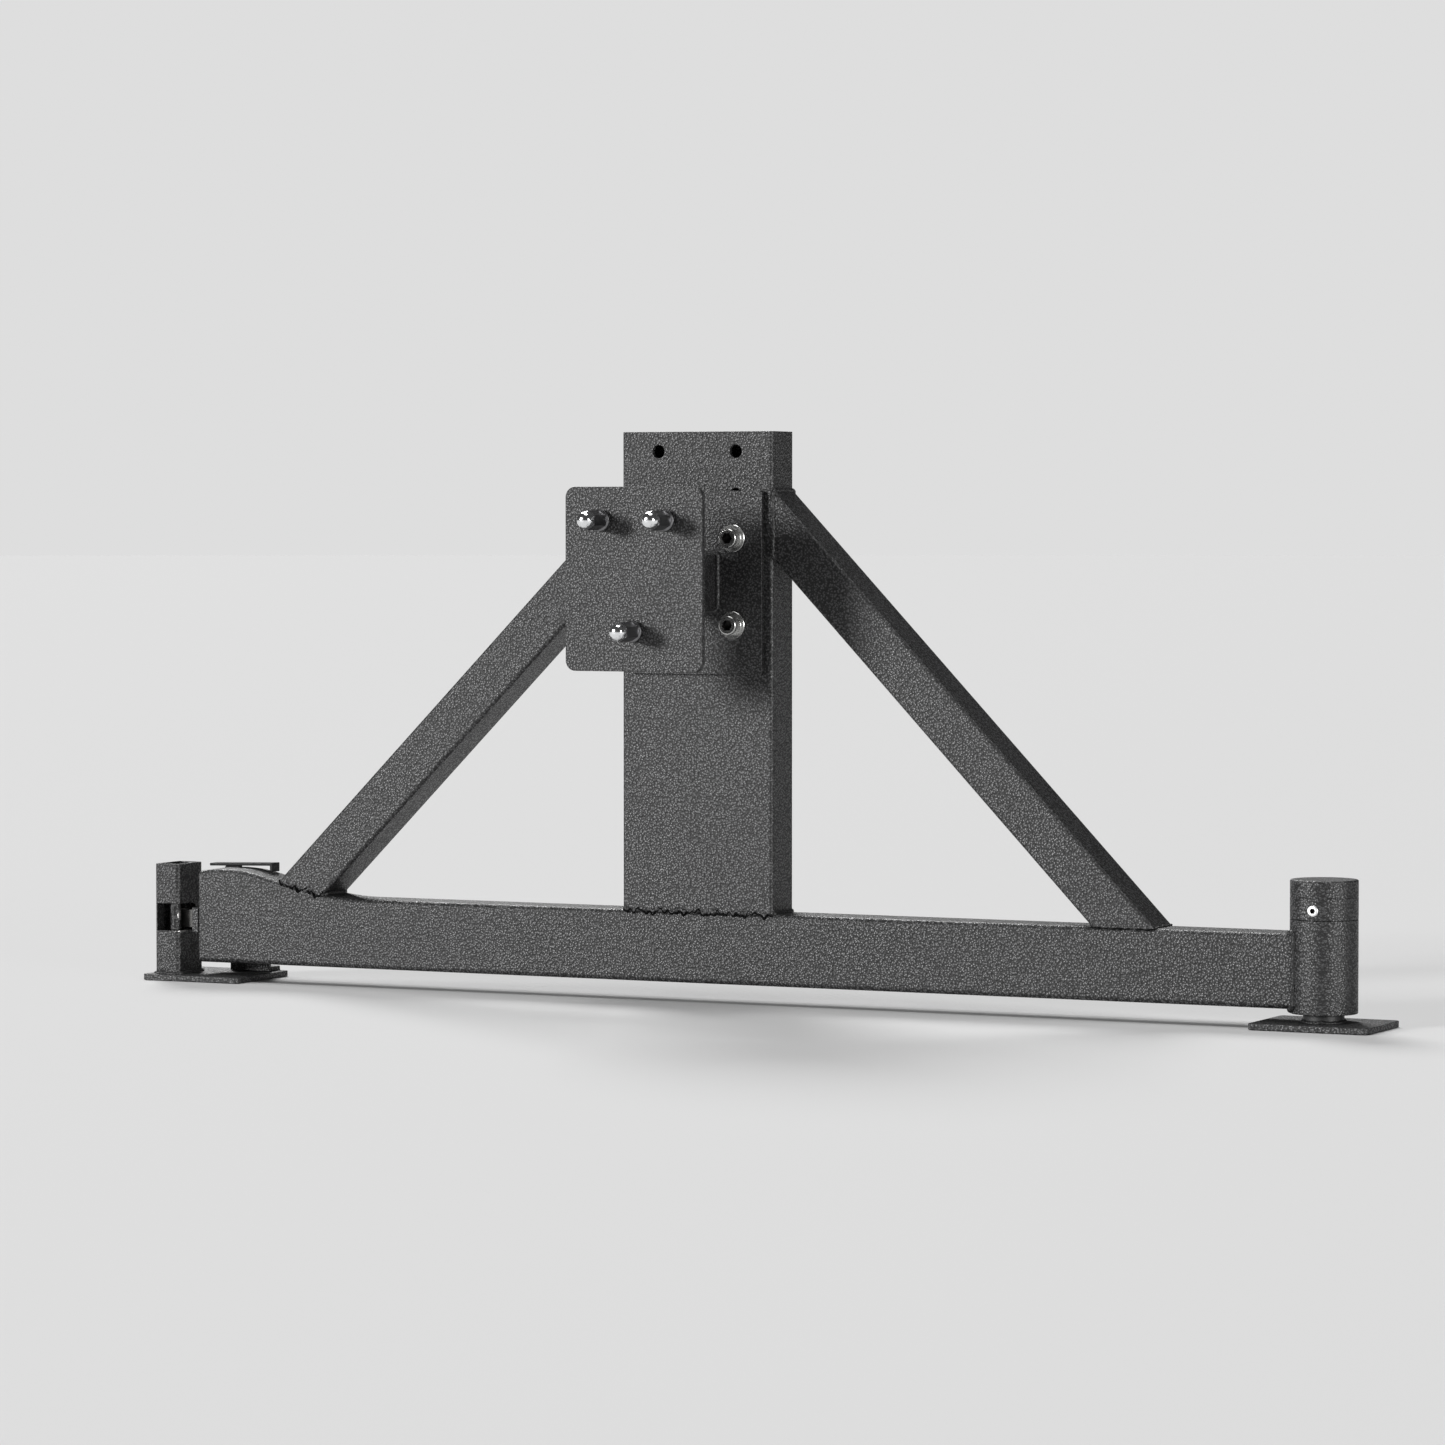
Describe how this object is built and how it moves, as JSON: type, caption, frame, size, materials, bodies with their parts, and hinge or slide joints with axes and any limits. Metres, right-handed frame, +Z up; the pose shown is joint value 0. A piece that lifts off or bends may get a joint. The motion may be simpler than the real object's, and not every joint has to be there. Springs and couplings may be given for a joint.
{
  "type": "spare tire carrier",
  "caption": "Swing-away spare tire carrier: a braced tube arm on a bearing hinge, with a bolt-on wheel mount, studs, and a sprung slam latch with its catch.",
  "frame": {"origin": "on the hinge axis, at the underside of the spindle's base plate", "axes": "+Z up along the hinge axis, -X along the closed arm from the hinge towards the latch, -Y the side the spare wheel hangs on, +Y towards the vehicle"},
  "size_m": [1.434, 0.2757, 0.6048],
  "materials": {
    "powder_coat": "textured satin black powder coat",
    "zinc_plate": "bright zinc plate",
    "chrome": "polished chrome plate",
    "bare_steel": "machined and greased",
    "rubber": "matte black"
  },
  "bodies": {
    "vehicle_side": {"spindle_base": "powder_coat", "spindle": "bare_steel", "lower_bearing_cone": "bare_steel", "upper_bearing_cone": "bare_steel", "lower_bearing_rollers": "bare_steel", "upper_bearing_rollers": "bare_steel", "thrust_washer": "bare_steel", "castle_nut": "zinc_plate", "cotter_pin": "zinc_plate", "catch_base": "powder_coat", "catch_post": "powder_coat", "keeper_pin": "zinc_plate", "stop_angle": "powder_coat", "stop_pad": "rubber"},
    "swing_arm": {"hinge_barrel": "powder_coat", "hinge_cap": "powder_coat", "cap_screw": "zinc_plate", "lower_bearing_cup": "bare_steel", "upper_bearing_cup": "bare_steel", "grease_seal": "rubber", "main_beam": "powder_coat", "end_plate": "powder_coat", "post": "powder_coat", "post_cap": "powder_coat", "left_brace": "powder_coat", "right_brace": "powder_coat", "mount_plate": "powder_coat", "spacer_tube": "powder_coat", "stud_plate": "powder_coat", "mount_washer_1": "zinc_plate", "mount_bolt_1": "zinc_plate", "mount_nut_1": "zinc_plate", "mount_washer_2": "zinc_plate", "mount_bolt_2": "zinc_plate", "mount_nut_2": "zinc_plate", "mount_washer_3": "zinc_plate", "mount_bolt_3": "zinc_plate", "mount_nut_3": "zinc_plate", "mount_washer_4": "zinc_plate", "mount_bolt_4": "zinc_plate", "mount_nut_4": "zinc_plate", "wheel_stud_1": "zinc_plate", "lug_nut_1": "chrome", "wheel_stud_2": "zinc_plate", "lug_nut_2": "chrome", "wheel_stud_3": "zinc_plate", "lug_nut_3": "chrome", "handle_pin": "bare_steel", "spring_plate": "powder_coat", "latch_spring": "bare_steel"},
    "latch_handle": {"latch_handle": "powder_coat"},
    "latch_bolt": {"latch_bolt": "zinc_plate"}
  },
  "joints": [
    {"name": "swing", "type": "hinge", "parent": "vehicle_side", "child": "swing_arm", "pos_m": [0, 0, 0], "axis": [0, 0, 1], "range_deg": [0, 115]},
    {"name": "handle_lift", "type": "hinge", "parent": "swing_arm", "child": "latch_handle", "pos_m": [-1.3033, 0, 0.1105], "axis": [0, -1, 0], "range_deg": [0, 31], "stiffness_Nm_per_rad": 1.25, "springref_deg": -34.38},
    {"name": "bolt_slide", "type": "slide", "parent": "swing_arm", "child": "latch_bolt", "axis": [1, 0, 0], "range_m": [0, 0.0216], "deforming": ["latch_spring"]}
  ],
  "couplings": [
    {"joint": "bolt_slide", "follows": "handle_lift", "m_per_rad": 0.0396}
  ]
}
